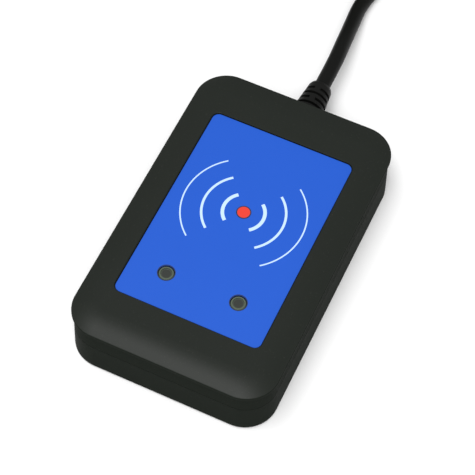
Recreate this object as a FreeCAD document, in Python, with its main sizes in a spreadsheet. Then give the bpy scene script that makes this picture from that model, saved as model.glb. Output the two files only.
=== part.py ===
"""Desktop RFID card reader: a flat two-shell housing with a blue front label, its board, coils and
lights inside, and a USB lead that ends in a type A plug. Millimetres, +Z up, +Y towards the cable.

The origin is on the table, under the middle of the housing. Every size that can be set by itself is
a named cell of the Sizes spreadsheet, and each piece takes its sizes from those cells.
"""

import FreeCAD, Part
import math
import os

import Sketcher
from FreeCAD import Placement, Rotation, Vector

DRIVING = {
    # The outline of the cover's rim, and how the cover stands over the case
    "rim_width": 56.0,
    "rim_length": 88.0,
    "rim_corner": 8.9,
    "total_height": 18.0,
    "crown_drop": 1.4,
    "crown_run": 7.0,
    "rim_edge": 1.0,
    "rim_overhang": 0.95,
    "rim_bevel": 0.25,
    "skirt_draft": 0.6,
    "wall": 1.9,
    "roof": 2.4,
    "floor_thickness": 2.0,
    "case_height": 10.0,
    "case_flare": 0.28,
    "case_bevel": 0.45,
    "parting_gap": 0.22,
    "tongue_height": 1.6,
    "tongue_thickness": 0.9,
    "seat_clearance": 0.12,
    # The front label in its recess
    "label_side_margin": 8.0,
    "label_end_margin": 14.0,
    "label_corner": 1.8,
    "label_thickness": 0.25,
    "label_sunk": 0.5,
    "label_gap": 0.2,
    "adhesive_thickness": 0.12,
    "recess_bevel": 0.2,
    # The two indicator lights
    "light_spacing": 20.0,
    "light_inset": 9.9,
    "light_window": 4.3,
    "light_head": 4.0,
    "light_stem": 3.0,
    "light_flange": 5.0,
    "light_flange_thickness": 0.8,
    "light_sleeve": 1.0,
    # Screws that close the housing, from below
    "screw_inset": 3.85,
    "screw_thread": 2.2,
    "screw_tip_gap": 1.2,
    "screw_head": 4.2,
    "screw_head_height": 1.5,
    "screw_head_depth": 2.6,
    "boss_wall": 1.7,
    "rib_height": 0.8,
    "rib_thickness": 0.9,
    # Rubber feet and the rating label under the case
    "foot_side_inset": 8.0,
    "foot_end_inset": 16.5,
    "foot_diameter": 8.0,
    "foot_thickness": 1.1,
    "foot_stand": 0.35,
    "rating_width": 26.0,
    "rating_length": 38.0,
    "rating_thickness": 0.15,
    # The board
    "board_side_gap": 0.65,
    "board_end_gap": 3.65,
    "board_thickness": 1.6,
    "board_height": 5.8,
    "board_boss_gap": 1.7,
    "header_inset": 13.4,
    "post_diameter": 4.6,
    "post_side_inset": 4.0,
    "post_notch_inset": 3.2,
    "post_loop_gap": 2.6,
    "board_screw_thread": 1.8,
    "board_screw_length": 4.6,
    "board_screw_head": 3.4,
    "board_screw_head_height": 1.2,
    # Antennas
    "loop_side_inset": 2.3,
    "loop_end_inset": 6.7,
    "loop_light_gap": 3.7,
    "loop_track": 0.7,
    "loop_pitch": 1.3,
    "loop_thickness": 0.07,
    "coil_outer": 38.0,
    "coil_build": 3.5,
    "coil_header_gap": 0.3,
    "coil_thickness": 3.0,
    "spacer_thickness": 0.8,
    # The cable where it leaves the housing
    "cable_diameter": 4.5,
    "cable_height": 8.5,
    "relief_length": 12.3,
    "relief_neck_wall": 0.95,
    "relief_flange_wall": 1.7,
    "relief_flange_thickness": 1.4,
    "relief_root_wall": 2.15,
    "relief_tip_wall": 1.1,
    "relief_slot": 0.85,
    "relief_slot_start": 3.55,
    "relief_slot_pitch": 1.9,
    "relief_core_wall": 0.6,
    "relief_spine": 1.6,
    # The coil of spare cable, and the plug that lies on it
    "hank_middle": 24.0,
    "hank_width": 18.6,
    "hank_height": 14.1,
    "tie_thickness": 0.6,
    "tie_width": 3.6,
    "plug_grip_length": 29.0,
    "plug_grip_width": 15.6,
    "plug_grip_thickness": 8.0,
    "plug_relief_length": 11.0,
    "plug_relief_wall": 0.7,
    "shell_width": 12.0,
    "shell_thickness": 4.5,
    "shell_wall": 0.3,
    "shell_exposed": 12.2,
    "shell_buried": 6.5,
}

doc = FreeCAD.newDocument("card_reader")
sheet = doc.addObject("Spreadsheet::Sheet", "Sizes")
for row, (alias, number) in enumerate(DRIVING.items(), start=1):
    sheet.set(f"A{row}", alias)
    sheet.set(f"B{row}", repr(number))
    sheet.setAlias(f"B{row}", alias)
doc.recompute()


class Size:
    """A length as a number and as the spreadsheet expression that gives it, so that arithmetic on
    named sizes can be bound to a feature."""

    def __init__(self, text, number):
        self.text = text
        self.number = float(number)

    @staticmethod
    def of(value):
        return value if isinstance(value, Size) else Size(repr(float(value)), value)

    def __add__(self, other):
        other = Size.of(other)
        return Size(f"({self.text} + {other.text})", self.number + other.number)

    def __sub__(self, other):
        other = Size.of(other)
        return Size(f"({self.text} - {other.text})", self.number - other.number)

    def __mul__(self, other):
        other = Size.of(other)
        return Size(f"({self.text} * {other.text})", self.number * other.number)

    def __truediv__(self, other):
        other = Size.of(other)
        return Size(f"({self.text} / {other.text})", self.number / other.number)

    def __neg__(self):
        return Size(f"(0 - {self.text})", -self.number)

    def __radd__(self, other):
        return Size.of(other) + self

    def __rsub__(self, other):
        return Size.of(other) - self

    def __rmul__(self, other):
        return Size.of(other) * self


class Sizes:
    """Each cell of the spreadsheet, as an attribute."""

    def __getattr__(self, alias):
        return Size(f"Sizes.{alias}", sheet.get(alias))


s = Sizes()
ZERO = Size.of(0)
NODES = {}

# Heights and places that several pieces share
rim_bottom = s.total_height - s.crown_drop - s.rim_edge
skirt_width = s.rim_width - 2 * s.rim_overhang
skirt_length = s.rim_length - 2 * s.rim_overhang
skirt_corner = s.rim_corner - s.rim_overhang
parting_width = skirt_width + 2 * s.skirt_draft
parting_length = skirt_length + 2 * s.skirt_draft
parting_corner = skirt_corner + s.skirt_draft
skirt_bottom = s.case_height + s.parting_gap
inner_width = skirt_width - 2 * s.wall
inner_length = skirt_length - 2 * s.wall
inner_corner = skirt_corner - s.wall
ceiling = s.total_height - s.roof
label_width = s.rim_width - 2 * s.label_side_margin
label_length = s.rim_length - 2 * s.label_end_margin
label_top = s.total_height - s.label_sunk
label_bottom = label_top - s.label_thickness
recess_floor = label_bottom - s.adhesive_thickness
case_floor = s.foot_stand + s.floor_thickness
boss_diameter = s.screw_thread + 2 * s.boss_wall
low_boss_diameter = boss_diameter + 0.6
boss_bottom = skirt_bottom + s.seat_clearance
screw_seat = s.foot_stand + s.screw_head_depth
screw_length = ceiling - s.screw_tip_gap - screw_seat
screw_x = inner_width / 2 - s.screw_inset
screw_y = inner_length / 2 - s.screw_inset
screw_places = [(sx * screw_x, sy * screw_y) for sx in (-1, 1) for sy in (-1, 1)]
foot_x = s.rim_width / 2 - s.foot_side_inset
foot_y = s.rim_length / 2 - s.foot_end_inset
foot_places = {
    "rubber_foot_front_left": (-foot_x, -foot_y),
    "rubber_foot_rear_left": (-foot_x, foot_y),
    "rubber_foot_front_right": (foot_x, -foot_y),
    "rubber_foot_rear_right": (foot_x, foot_y),
}
light_back = s.light_inset - label_length / 2
light_places = {"left": -s.light_spacing / 2, "right": s.light_spacing / 2}
lights = [(x, light_back) for x in light_places.values()]

# The board inside the tray, its antennas and its posts
board_width = inner_width - 2 * s.board_side_gap
board_length = inner_length - 2 * s.board_end_gap
board_top = s.board_height + s.board_thickness
notch_x = screw_x - low_boss_diameter / 2 - s.board_boss_gap
notch_y = screw_y - low_boss_diameter / 2 - s.board_boss_gap
loop_width = board_width - 2 * s.loop_side_inset
loop_front = light_back + s.loop_light_gap
loop_rear = board_length / 2 - s.loop_end_inset
header_front = board_length / 2 - s.header_inset
coil_middle = header_front - s.coil_header_gap - s.coil_outer / 2
post_front = (board_width / 2 - s.post_side_inset, loop_front - s.post_loop_gap)
post_rear = (notch_x - s.post_notch_inset, loop_rear + s.post_loop_gap)
post_places = [(side * x, y) for side in (-1, 1) for x, y in (post_front, post_rear)]
board_screw_places = [post_places[0], post_places[3]]

# The strain relief, round the cable and through the back wall
relief_neck = s.cable_diameter + 2 * s.relief_neck_wall
relief_flange = s.cable_diameter + 2 * s.relief_flange_wall
relief_root = s.cable_diameter + 2 * s.relief_root_wall
relief_tip = s.cable_diameter + 2 * s.relief_tip_wall
relief_core = s.cable_diameter + 2 * s.relief_core_wall
relief_reach = s.rim_length / 2 + s.relief_length
# The inner face of the strain relief's flange, which seats on the back wall
flange_front = inner_length / 2 - s.seat_clearance - s.relief_flange_thickness


# Helpers that bind a feature's sizes to the sheet


def bind(thing, prop, size):
    thing.setExpression(prop, Size.of(size).text)


def keep(thing, name):
    """The object is the sub-part of this name, which names its file."""
    thing.Label = name
    NODES[name] = thing
    return thing


def new_body(name, part=True):
    """A body, which is a sub-part by itself unless it goes into one."""
    body = doc.addObject("PartDesign::Body", name)
    return keep(body, name) if part else body


def sketch_on(body, name, role="XY_Plane", offset=ZERO):
    """A sketch on one of its body's origin planes, moved along that plane's normal."""
    sketch = body.newObject("Sketcher::SketchObject", name)
    origin_plane = next(f for f in body.Origin.OriginFeatures if f.Role == role)
    sketch.AttachmentSupport = [(origin_plane, "")]
    sketch.MapMode = "FlatFace"
    bind(sketch, "AttachmentOffset.Base.z", offset)
    return sketch


def measure(sketch, kind, size, *where):
    """A dimension of a sketch, bound to a size."""
    size = Size.of(size)
    index = sketch.addConstraint(Sketcher.Constraint(kind, *where, size.number))
    sketch.renameConstraint(index, f"{kind.lower()}_{index}")
    bind(sketch, f"Constraints.{kind.lower()}_{index}", size)


def locate(sketch, geometry, point, x, y):
    """Holds a point of a sketch at x and y from its origin."""
    for kind, size, axis in (("DistanceX", Size.of(x), -2), ("DistanceY", Size.of(y), -1)):
        if size.number == 0:
            sketch.addConstraint(Sketcher.Constraint("PointOnObject", geometry, point, axis))
        else:
            measure(sketch, kind, size, -1, 1, geometry, point)


def circle(sketch, diameter, x=ZERO, y=ZERO):
    x, y = Size.of(x), Size.of(y)
    disc = Part.Circle(Vector(x.number, y.number, 0), Vector(0, 0, 1), diameter.number / 2)
    geometry = sketch.addGeometry(disc, False)
    locate(sketch, geometry, 3, x, y)
    measure(sketch, "Diameter", diameter, geometry)


def polygon(sketch, corners):
    """A closed outline through corners, each held at its own x and y."""
    corners = [(Size.of(x), Size.of(y)) for x, y in corners]
    points = [Vector(x.number, y.number, 0) for x, y in corners]
    lines = [Part.LineSegment(points[i], points[(i + 1) % len(points)]) for i in range(len(points))]
    first = sketch.addGeometry(lines, False)[0]
    for i, (x, y) in enumerate(corners):
        last = first + (i - 1) % len(corners)
        sketch.addConstraint(Sketcher.Constraint("Coincident", last, 2, first + i, 1))
        locate(sketch, first + i, 1, x, y)


def rectangle(sketch, width, length, x=ZERO, y=ZERO):
    left, right = x - Size.of(width) / 2, x + Size.of(width) / 2
    front, back = y - Size.of(length) / 2, y + Size.of(length) / 2
    polygon(sketch, [(left, front), (right, front), (right, back), (left, back)])


def rounded_rectangle(sketch, width, length, corner, x=ZERO, y=ZERO):
    """Four arcs joined by four lines, tangent to each other."""
    x, y = Size.of(x), Size.of(y)
    across, along = Size.of(width) / 2 - corner, Size.of(length) / 2 - corner
    radius = corner.number
    dx, dy = across.number, along.number
    turns = [(1, 1), (-1, 1), (-1, -1), (1, -1)]
    centres = [Vector(x.number + sx * dx, y.number + sy * dy, 0) for sx, sy in turns]
    shapes = []
    for i, centre in enumerate(centres):
        begin, end = i * math.pi / 2, (i + 1) * math.pi / 2
        shapes.append(Part.ArcOfCircle(Part.Circle(centre, Vector(0, 0, 1), radius), begin, end))
    for i, centre in enumerate(centres):
        out = Vector(math.cos((i + 1) * math.pi / 2), math.sin((i + 1) * math.pi / 2), 0) * radius
        shapes.append(Part.LineSegment(centre + out, centres[(i + 1) % 4] + out))
    arc = sketch.addGeometry(shapes, False)[0]
    line = arc + 4
    for i in range(4):
        sketch.addConstraint(Sketcher.Constraint("Tangent", arc + i, 2, line + i, 1))
        sketch.addConstraint(Sketcher.Constraint("Tangent", line + i, 2, arc + (i + 1) % 4, 1))
        sketch.addConstraint(Sketcher.Constraint("Vertical" if i % 2 else "Horizontal", line + i))
    for i in range(3):
        sketch.addConstraint(Sketcher.Constraint("Equal", arc + i, arc + i + 1))
    measure(sketch, "Radius", corner, arc)
    locate(sketch, arc, 3, x + across, y + along)
    locate(sketch, arc + 2, 3, x - across, y - along)


def extrude(body, kind, name, sketch, depth, back=False):
    feature = body.newObject(kind, name)
    feature.Profile = sketch
    bind(feature, "Length", depth)
    feature.Reversed = back
    return feature


def pad(body, name, sketch, height, back=False):
    return extrude(body, "PartDesign::Pad", name, sketch, height, back)


def pocket(body, name, sketch, depth, up=False):
    """Cuts away from the sketch's normal, or along it if up."""
    before = solid_volume(body)
    feature = extrude(body, "PartDesign::Pocket", name, sketch, depth, up)
    if solid_volume(body) > before - 1e-6:
        raise RuntimeError(f"{body.Label}: {name} cuts nothing")
    return feature


def solid_volume(body):
    doc.recompute()
    return body.Shape.Volume


def edges_at(feature, height, least=0.0):
    """The names of a feature's edges that lie level at a height, no nearer the axis than least."""
    doc.recompute()
    found = []
    for number, edge in enumerate(feature.Shape.Edges, start=1):
        box = edge.BoundBox
        middle = edge.valueAt((edge.FirstParameter + edge.LastParameter) / 2)
        level = abs(box.ZMin - height) < 1e-4 and abs(box.ZMax - height) < 1e-4
        if level and max(abs(middle.x), abs(middle.y)) >= least:
            found.append(f"Edge{number}")
    return found


def dress(body, kind, name, feature, edges, prop, size):
    dressed = body.newObject(kind, name)
    dressed.Base = (feature, edges)
    bind(dressed, prop, size)
    return dressed


def revolve(name, profile, x=ZERO, y=ZERO, z=ZERO, part=True):
    """A turned body: its profile's corners are (radius, height), and it stands at x, y and z."""
    body = new_body(name, part)
    sketch = sketch_on(body, f"{name}_profile", "XZ_Plane")
    polygon(sketch, profile)
    turn = body.newObject("PartDesign::Revolution", f"{name}_turn")
    turn.Profile = sketch
    turn.ReferenceAxis = (sketch, ["V_Axis"])
    turn.Angle = 360
    for prop, size in (("x", x), ("y", y), ("z", z)):
        bind(body, f"Placement.Base.{prop}", size)
    return body


def block(name, width, length, height, x, y, z):
    """A box centred over x and y, standing at z."""
    solid = doc.addObject("Part::Box", name)
    bind(solid, "Length", width)
    bind(solid, "Width", length)
    bind(solid, "Height", height)
    bind(solid, "Placement.Base.x", Size.of(x) - Size.of(width) / 2)
    bind(solid, "Placement.Base.y", Size.of(y) - Size.of(length) / 2)
    bind(solid, "Placement.Base.z", z)
    return solid


def rod(name, diameter, height, x, y, z):
    """An upright cylinder standing at z."""
    solid = doc.addObject("Part::Cylinder", name)
    bind(solid, "Radius", Size.of(diameter) / 2)
    bind(solid, "Height", height)
    for prop, size in (("x", x), ("y", y), ("z", z)):
        bind(solid, f"Placement.Base.{prop}", size)
    return solid


def fuse(name, solids):
    joined = doc.addObject("Part::MultiFuse", name)
    joined.Shapes = solids
    return joined


def cut(name, base, tool):
    left = doc.addObject("Part::Cut", name)
    left.Base = base
    left.Tool = tool
    return left


def group(name, solids):
    together = doc.addObject("Part::Compound", name)
    together.Links = solids
    return keep(together, name)


def bent_path(points):
    """Straight runs joined by tangent arcs, each as large as its two runs allow."""
    edges, radii = [], []
    at = points[0]
    for before, corner, after in zip(points, points[1:], points[2:]):
        into, away = corner - before, after - corner
        shorter = min(into.Length, away.Length)
        into.normalize()
        away.normalize()
        turn = math.acos(max(-1.0, min(1.0, into.dot(away))))
        back = 0.45 * shorter
        radius = back / math.tan(turn / 2)
        inward = (away - into).normalize()
        middle = corner + inward * (radius / math.cos(turn / 2) - radius)
        start, end = corner - into * back, corner + away * back
        edges += [Part.LineSegment(at, start).toShape(), Part.Arc(start, middle, end).toShape()]
        radii.append(radius)
        at = end
    edges.append(Part.LineSegment(at, points[-1]).toShape())
    return Part.Wire(edges), radii


def tube(path, diameter):
    """A round solid along a path."""
    start = path.Edges[0].valueAt(path.Edges[0].FirstParameter)
    along = path.Edges[0].tangentAt(path.Edges[0].FirstParameter)
    ring = Part.Wire(Part.Circle(start, along, diameter / 2).toShape())
    solid = path.makePipeShell([ring], True, False)
    whole = math.pi * diameter**2 / 4 * path.Length
    if abs(solid.Volume - whole) > 0.01 * whole:
        raise RuntimeError("a tube's volume isn't its section times its length")
    return solid


def shaped(name, shape):
    """A sub-part whose shape comes from Part's own functions."""
    feature = doc.addObject("Part::Feature", name)
    feature.Shape = shape
    return keep(feature, name)


# The housing


def add_bosses(body, name, places, diameter, bottom, height):
    for number, (x, y) in enumerate(places):
        sketch = sketch_on(body, f"{name}_{number}_outline", offset=bottom)
        circle(sketch, diameter, x, y)
        pad(body, f"{name}_{number}", sketch, height)


def drill(body, name, places, diameter, height, depth, up):
    sketch = sketch_on(body, f"{name}_outline", offset=height)
    for x, y in places:
        circle(sketch, diameter, x, y)
    pocket(body, name, sketch, depth, up)


def cut_cable_way(body, name, shape, reach):
    """Cuts the cable's way through the back wall, along -Y from outside the housing."""
    sketch = sketch_on(body, f"{name}_outline", "XZ_Plane", -(s.rim_length / 2 + 1))
    shape(sketch)
    pocket(body, name, sketch, reach, up=True)


def drafted_shell(body, name, low_outline, low, high_outline, high):
    """A solid between two rounded rectangles, one above the other, so that its walls lean."""
    foot = sketch_on(body, f"{name}_low_outline", offset=low)
    rounded_rectangle(foot, *low_outline)
    head = sketch_on(body, f"{name}_high_outline", offset=high)
    rounded_rectangle(head, *high_outline)
    shell = body.newObject("PartDesign::AdditiveLoft", name)
    shell.Profile = foot
    shell.Sections = [head]
    shell.Ruled = True
    return shell


def upper_cover():
    """The lid: a crowned frame round the label, a sharp overhanging rim and a skirt below it."""
    body = new_body("upper_cover")
    # A fillet of a larger block, trimmed to the rim, leaves the crown's shallow arc.
    crown_radius = (s.crown_run * s.crown_run + s.crown_drop * s.crown_drop) / (2 * s.crown_drop)
    spare = crown_radius - s.crown_run
    block_bottom = s.total_height - crown_radius - 1
    sketch = sketch_on(body, "crown_outline", offset=block_bottom)
    rounded_rectangle(sketch, s.rim_width + 2 * spare, s.rim_length + 2 * spare, s.rim_corner + spare)
    crown = pad(body, "crown_block", sketch, crown_radius + 1)
    top = edges_at(crown, s.total_height.number)
    dress(body, "PartDesign::Fillet", "crown", crown, top, "Radius", crown_radius)
    trim = sketch_on(body, "rim_outline", offset=s.total_height)
    beyond = 2 * spare + 2
    rounded_rectangle(trim, s.rim_width + beyond, s.rim_length + beyond, s.rim_corner + spare)
    rounded_rectangle(trim, s.rim_width, s.rim_length, s.rim_corner)
    pocket(body, "rim", trim, crown_radius + 2)
    under = sketch_on(body, "rim_under_outline", offset=block_bottom)
    rounded_rectangle(under, s.rim_width + 1, s.rim_length + 1, s.rim_corner)
    lip = pocket(body, "rim_under", under, rim_bottom - block_bottom, up=True)
    upper_edges = edges_at(lip, (s.total_height - s.crown_drop).number)
    bevel = dress(body, "PartDesign::Chamfer", "rim_bevel", lip, upper_edges, "Size", s.rim_bevel)
    lower_edges = edges_at(bevel, rim_bottom.number)
    dress(body, "PartDesign::Chamfer", "under_bevel", bevel, lower_edges, "Size", s.rim_bevel * 0.7)

    parting = (parting_width, parting_length, parting_corner)
    under_rim = (skirt_width, skirt_length, skirt_corner)
    drafted_shell(body, "skirt", parting, skirt_bottom, under_rim, rim_bottom)
    inside = sketch_on(body, "inside_outline", offset=skirt_bottom)
    rounded_rectangle(inside, inner_width, inner_length, inner_corner)
    pocket(body, "inside", inside, ceiling - skirt_bottom, up=True)
    rabbet = sketch_on(body, "rabbet_outline", offset=skirt_bottom)
    grow = 2 * (s.tongue_thickness + s.seat_clearance)
    rounded_rectangle(rabbet, inner_width + grow, inner_length + grow, inner_corner + grow / 2)
    pocket(body, "rabbet", rabbet, s.tongue_height + s.seat_clearance, up=True)

    recess = sketch_on(body, "recess_outline", offset=s.total_height)
    recess_width = label_width + 2 * s.label_gap
    recess_length = label_length + 2 * s.label_gap
    rounded_rectangle(recess, recess_width, recess_length, s.label_corner + s.label_gap)
    sunk = pocket(body, "recess", recess, s.total_height - recess_floor)
    inner_edges = []
    for name in edges_at(sunk, s.total_height.number):
        box = sunk.Shape.getElement(name).BoundBox
        reach = max(abs(box.XMin), abs(box.XMax)) - recess_width.number / 2
        stretch = max(abs(box.YMin), abs(box.YMax)) - recess_length.number / 2
        if reach < 0.01 and stretch < 0.01:
            inner_edges.append(name)
    dress(body, "PartDesign::Chamfer", "recess_bevels", sunk, inner_edges, "Size", s.recess_bevel)

    add_bosses(body, "boss", screw_places, boss_diameter, boss_bottom, ceiling - boss_bottom)
    pilot = s.screw_thread * 0.84
    drill(body, "boss_pilot", screw_places, pilot, boss_bottom, ceiling - boss_bottom, up=True)
    sleeve_bottom = ceiling - s.light_flange_thickness - s.seat_clearance - 0.6
    for side, x in light_places.items():
        ring = sketch_on(body, f"light_sleeve_{side}_outline", offset=sleeve_bottom)
        bore = s.light_flange + 2 * s.seat_clearance
        circle(ring, bore + 2 * s.light_sleeve, x, light_back)
        circle(ring, bore, x, light_back)
        pad(body, f"light_sleeve_{side}", ring, ceiling - sleeve_bottom)
    drill(body, "light_holes", lights, s.light_window, s.total_height, s.roof + 1, up=False)
    for number, y in enumerate((coil_middle - s.coil_outer / 4, coil_middle + s.coil_outer / 4)):
        # Stiffening ribs run across the roof over the wound coil, clear of the taller parts.
        rib = sketch_on(body, f"rib_{number}_outline", offset=ceiling - s.rib_height)
        rectangle(rib, inner_width, s.rib_thickness, y=y)
        pad(body, f"rib_{number}", rib, s.rib_height)
    neck_hole = relief_neck + 2 * s.seat_clearance
    back_wall = s.wall + s.rim_overhang + 1.5
    cut_cable_way(body, "cable_arch", lambda k: circle(k, neck_hole, ZERO, s.cable_height), back_wall)
    return body


def lower_case():
    """The tray: a flared shell with a tongue round its top, bosses, posts and pockets below."""
    body = new_body("lower_case")
    grow = 2 * s.case_flare
    foot = (parting_width + grow, parting_length + grow, parting_corner + s.case_flare)
    parting = (parting_width, parting_length, parting_corner)
    shell = drafted_shell(body, "case_shell", foot, s.foot_stand, parting, s.case_height)
    bottom = edges_at(shell, s.foot_stand.number)
    dress(body, "PartDesign::Chamfer", "case_bevel", shell, bottom, "Size", s.case_bevel)
    tongue = sketch_on(body, "tongue_outline", offset=s.case_height)
    grow = 2 * s.tongue_thickness
    rounded_rectangle(tongue, inner_width + grow, inner_length + grow, inner_corner + s.tongue_thickness)
    pad(body, "tongue", tongue, s.tongue_height)
    inside = sketch_on(body, "case_inside_outline", offset=s.case_height + s.tongue_height)
    rounded_rectangle(inside, inner_width, inner_length, inner_corner)
    pocket(body, "case_inside", inside, s.case_height + s.tongue_height - case_floor)

    root = case_floor - 0.5
    add_bosses(body, "boss_low", screw_places, low_boss_diameter, root, skirt_bottom - root)
    add_bosses(body, "post", post_places, s.post_diameter, root, s.board_height - root)
    screw_hole, head_hole = s.screw_thread + 0.3, s.screw_head + 0.5
    drill(body, "screw_holes", screw_places, screw_hole, s.foot_stand, s.case_height, up=True)
    drill(body, "screw_head_holes", screw_places, head_hole, s.foot_stand, s.screw_head_depth, up=True)
    pilot, bite = s.board_screw_thread * 0.84, s.board_screw_length - s.board_thickness
    drill(body, "post_pilots", board_screw_places, pilot, s.board_height, bite + 0.4, up=False)
    foot_hole, foot_seat = s.foot_diameter + 0.3, s.foot_thickness - s.foot_stand
    drill(body, "foot_pockets", foot_places.values(), foot_hole, s.foot_stand, foot_seat, up=True)
    rating = sketch_on(body, "rating_recess_outline", offset=s.foot_stand)
    rounded_rectangle(rating, s.rating_width + 0.6, s.rating_length + 0.6, Size.of(1.8))
    pocket(body, "rating_recess", rating, s.rating_thickness + 0.15, up=True)

    # A cradle wall holds the strain relief's flange against the back wall.
    cradle = sketch_on(body, "cradle_outline", offset=case_floor - 0.5)
    rectangle(cradle, relief_flange + 5, Size.of(1.2), y=flange_front - s.seat_clearance - 0.6)
    pad(body, "cradle", cradle, s.cable_height - case_floor + 0.5)
    width = relief_neck + 2 * s.seat_clearance
    back_wall = s.wall + s.rim_overhang + 1.3

    def neck(sketch):
        circle(sketch, width, ZERO, s.cable_height)

    def throat(sketch):
        rise = s.case_height + s.tongue_height + 1 - s.cable_height
        rectangle(sketch, width, rise, ZERO, s.cable_height + rise / 2)

    def saddle(sketch):
        circle(sketch, s.cable_diameter + 0.6, ZERO, s.cable_height)

    cut_cable_way(body, "cable_neck", neck, back_wall)
    cut_cable_way(body, "cable_throat", throat, back_wall)
    cut_cable_way(body, "cradle_saddle", saddle, back_wall + s.relief_flange_thickness + 3)
    return body


def flat_piece(name, outline, bottom, thickness, holes=(), hole=None):
    """A flat sheet with rounded corners, and round holes if it has any."""
    body = new_body(name)
    sketch = sketch_on(body, f"{name}_outline", offset=bottom)
    rounded_rectangle(sketch, *outline)
    for x, y in holes:
        circle(sketch, hole, x, y)
    pad(body, f"{name}_sheet", sketch, thickness)
    return body


def labels():
    """The printed front label on its adhesive, and the rating label under the case."""
    outline = (label_width, label_length, s.label_corner)
    flat_piece("front_label", outline, label_bottom, s.label_thickness, lights, s.light_window)
    outline = (label_width - 1, label_length - 1, s.label_corner)
    hole = s.light_window + 0.8
    flat_piece("label_adhesive", outline, recess_floor, s.adhesive_thickness, lights, hole)
    outline = (s.rating_width, s.rating_length, Size.of(1.5))
    flat_piece("rating_label", outline, s.foot_stand + 0.15, s.rating_thickness)


def light_pipes():
    """Clear pipes that carry each light from its LED on the board to its window in the label."""
    head_top = label_top - 0.15
    flange_top = ceiling - s.seat_clearance
    stem_bottom = board_top + 1.4
    rim = s.light_head / 2
    for side, x in light_places.items():
        profile = [
            (0, stem_bottom),
            (s.light_stem / 2, stem_bottom),
            (s.light_stem / 2, flange_top - s.light_flange_thickness),
            (s.light_flange / 2, flange_top - s.light_flange_thickness),
            (s.light_flange / 2, flange_top),
            (rim, flange_top),
            (rim, head_top - 0.2),
            (rim - 0.2, head_top),
            (rim - 0.5, head_top),
            (rim - 0.6, head_top - 0.3),
            (0, head_top - 0.3),
        ]
        revolve(f"light_pipe_{side}", profile, x, light_back)


def screw(name, head, head_height, thread, length):
    """A pan-head screw with its head down at z 0, and its point up."""
    profile = [
        (0, head_height * 0.5),
        (head * 0.2, 0),
        (head * 0.38, 0),
        (head / 2, head_height * 0.5),
        (head / 2, head_height),
        (thread / 2, head_height),
        (thread / 2, head_height + length),
        (0, head_height + length),
    ]
    return revolve(name, profile, part=False)


def place_copies(name, pattern, places, z, turned=False):
    """One node that holds a copy of the pattern's body at each place."""
    copies = []
    for number, (x, y) in enumerate(places):
        copy = doc.addObject("App::Link", f"{name}_{number}")
        copy.LinkedObject = pattern
        turn = Rotation(Vector(1, 0, 0), 180 if turned else 0)
        copy.LinkPlacement = Placement(Vector(0, 0, 0), turn)
        for prop, size in (("x", x), ("y", y), ("z", z)):
            bind(copy, f"LinkPlacement.Base.{prop}", size)
        copies.append(copy)
    return group(name, copies)


def fasteners():
    """Four screws close the housing from below, and two hold the board on its posts."""
    head = s.screw_head_height
    pattern = screw("case_screw_pattern", s.screw_head, head, s.screw_thread, screw_length)
    place_copies("case_screws", pattern, screw_places, screw_seat - head)
    head, thread = s.board_screw_head_height, s.board_screw_thread
    pattern = screw("board_screw_pattern", s.board_screw_head, head, thread, s.board_screw_length)
    place_copies("board_screws", pattern, board_screw_places, board_top + head, turned=True)


def feet():
    """Round rubber feet, stuck in their pockets, with a rounded lower edge."""
    radius = s.foot_diameter / 2
    profile = [
        (0, 0),
        (radius - 0.5, 0),
        (radius - 0.15, 0.12),
        (radius, 0.45),
        (radius, s.foot_thickness),
        (0, s.foot_thickness),
    ]
    for name, (x, y) in foot_places.items():
        revolve(name, profile, x, y)


# The board and what is on it


def main_board():
    """The circuit board, with its corners cut away for the bosses."""
    body = new_body("main_board")
    across, along = board_width / 2, board_length / 2
    in_x, in_y = notch_x, notch_y
    sketch = sketch_on(body, "board_outline", offset=s.board_height)
    front = [(in_x, -along), (in_x, -in_y), (across, -in_y)]
    corners = front + [(x, -y) for x, y in reversed(front)]
    mirrored = [(-x, y) for x, y in reversed(corners)]
    polygon(sketch, corners + mirrored)
    for x, y in board_screw_places:
        circle(sketch, s.board_screw_thread + 0.3, x, y)
    pad(body, "board_sheet", sketch, s.board_thickness)
    return body


def antennas():
    """The printed 13.56 MHz loops, and the wound 125 kHz coil on its foam ring."""
    loops = []
    middle = (loop_rear + loop_front) / 2
    for turn in range(4):
        body = new_body(f"antenna_loop_{turn}", part=False)
        sketch = sketch_on(body, f"antenna_loop_{turn}_outline", offset=board_top)
        corner = Size.of(3.6) - 0.5 * turn
        for inset, radius in ((ZERO, corner), (s.loop_track, corner - s.loop_track)):
            inset = 2 * turn * s.loop_pitch + 2 * inset
            length = loop_rear - loop_front - inset
            rounded_rectangle(sketch, loop_width - inset, length, radius, y=middle)
        pad(body, f"antenna_loop_{turn}_track", sketch, s.loop_thickness)
        loops.append(body)
    group("hf_antenna_track", loops)

    spacer_bottom = board_top + s.loop_thickness + 0.05
    inner, outer = s.coil_outer / 2 - s.coil_build, s.coil_outer / 2
    within, without, thick = inner + 0.3, outer - 0.3, s.spacer_thickness
    ring = [(within, 0), (without, 0), (without, thick), (within, thick)]
    revolve("coil_spacer", ring, ZERO, coil_middle, spacer_bottom)
    high = s.coil_thickness
    winding = [
        (inner, 0),
        (outer, 0),
        (outer, high - 0.5),
        (outer - 0.5, high),
        (inner + 0.5, high),
        (inner, high - 0.5),
    ]
    revolve("lf_antenna_coil", winding, ZERO, coil_middle, spacer_bottom + s.spacer_thickness)


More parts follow.
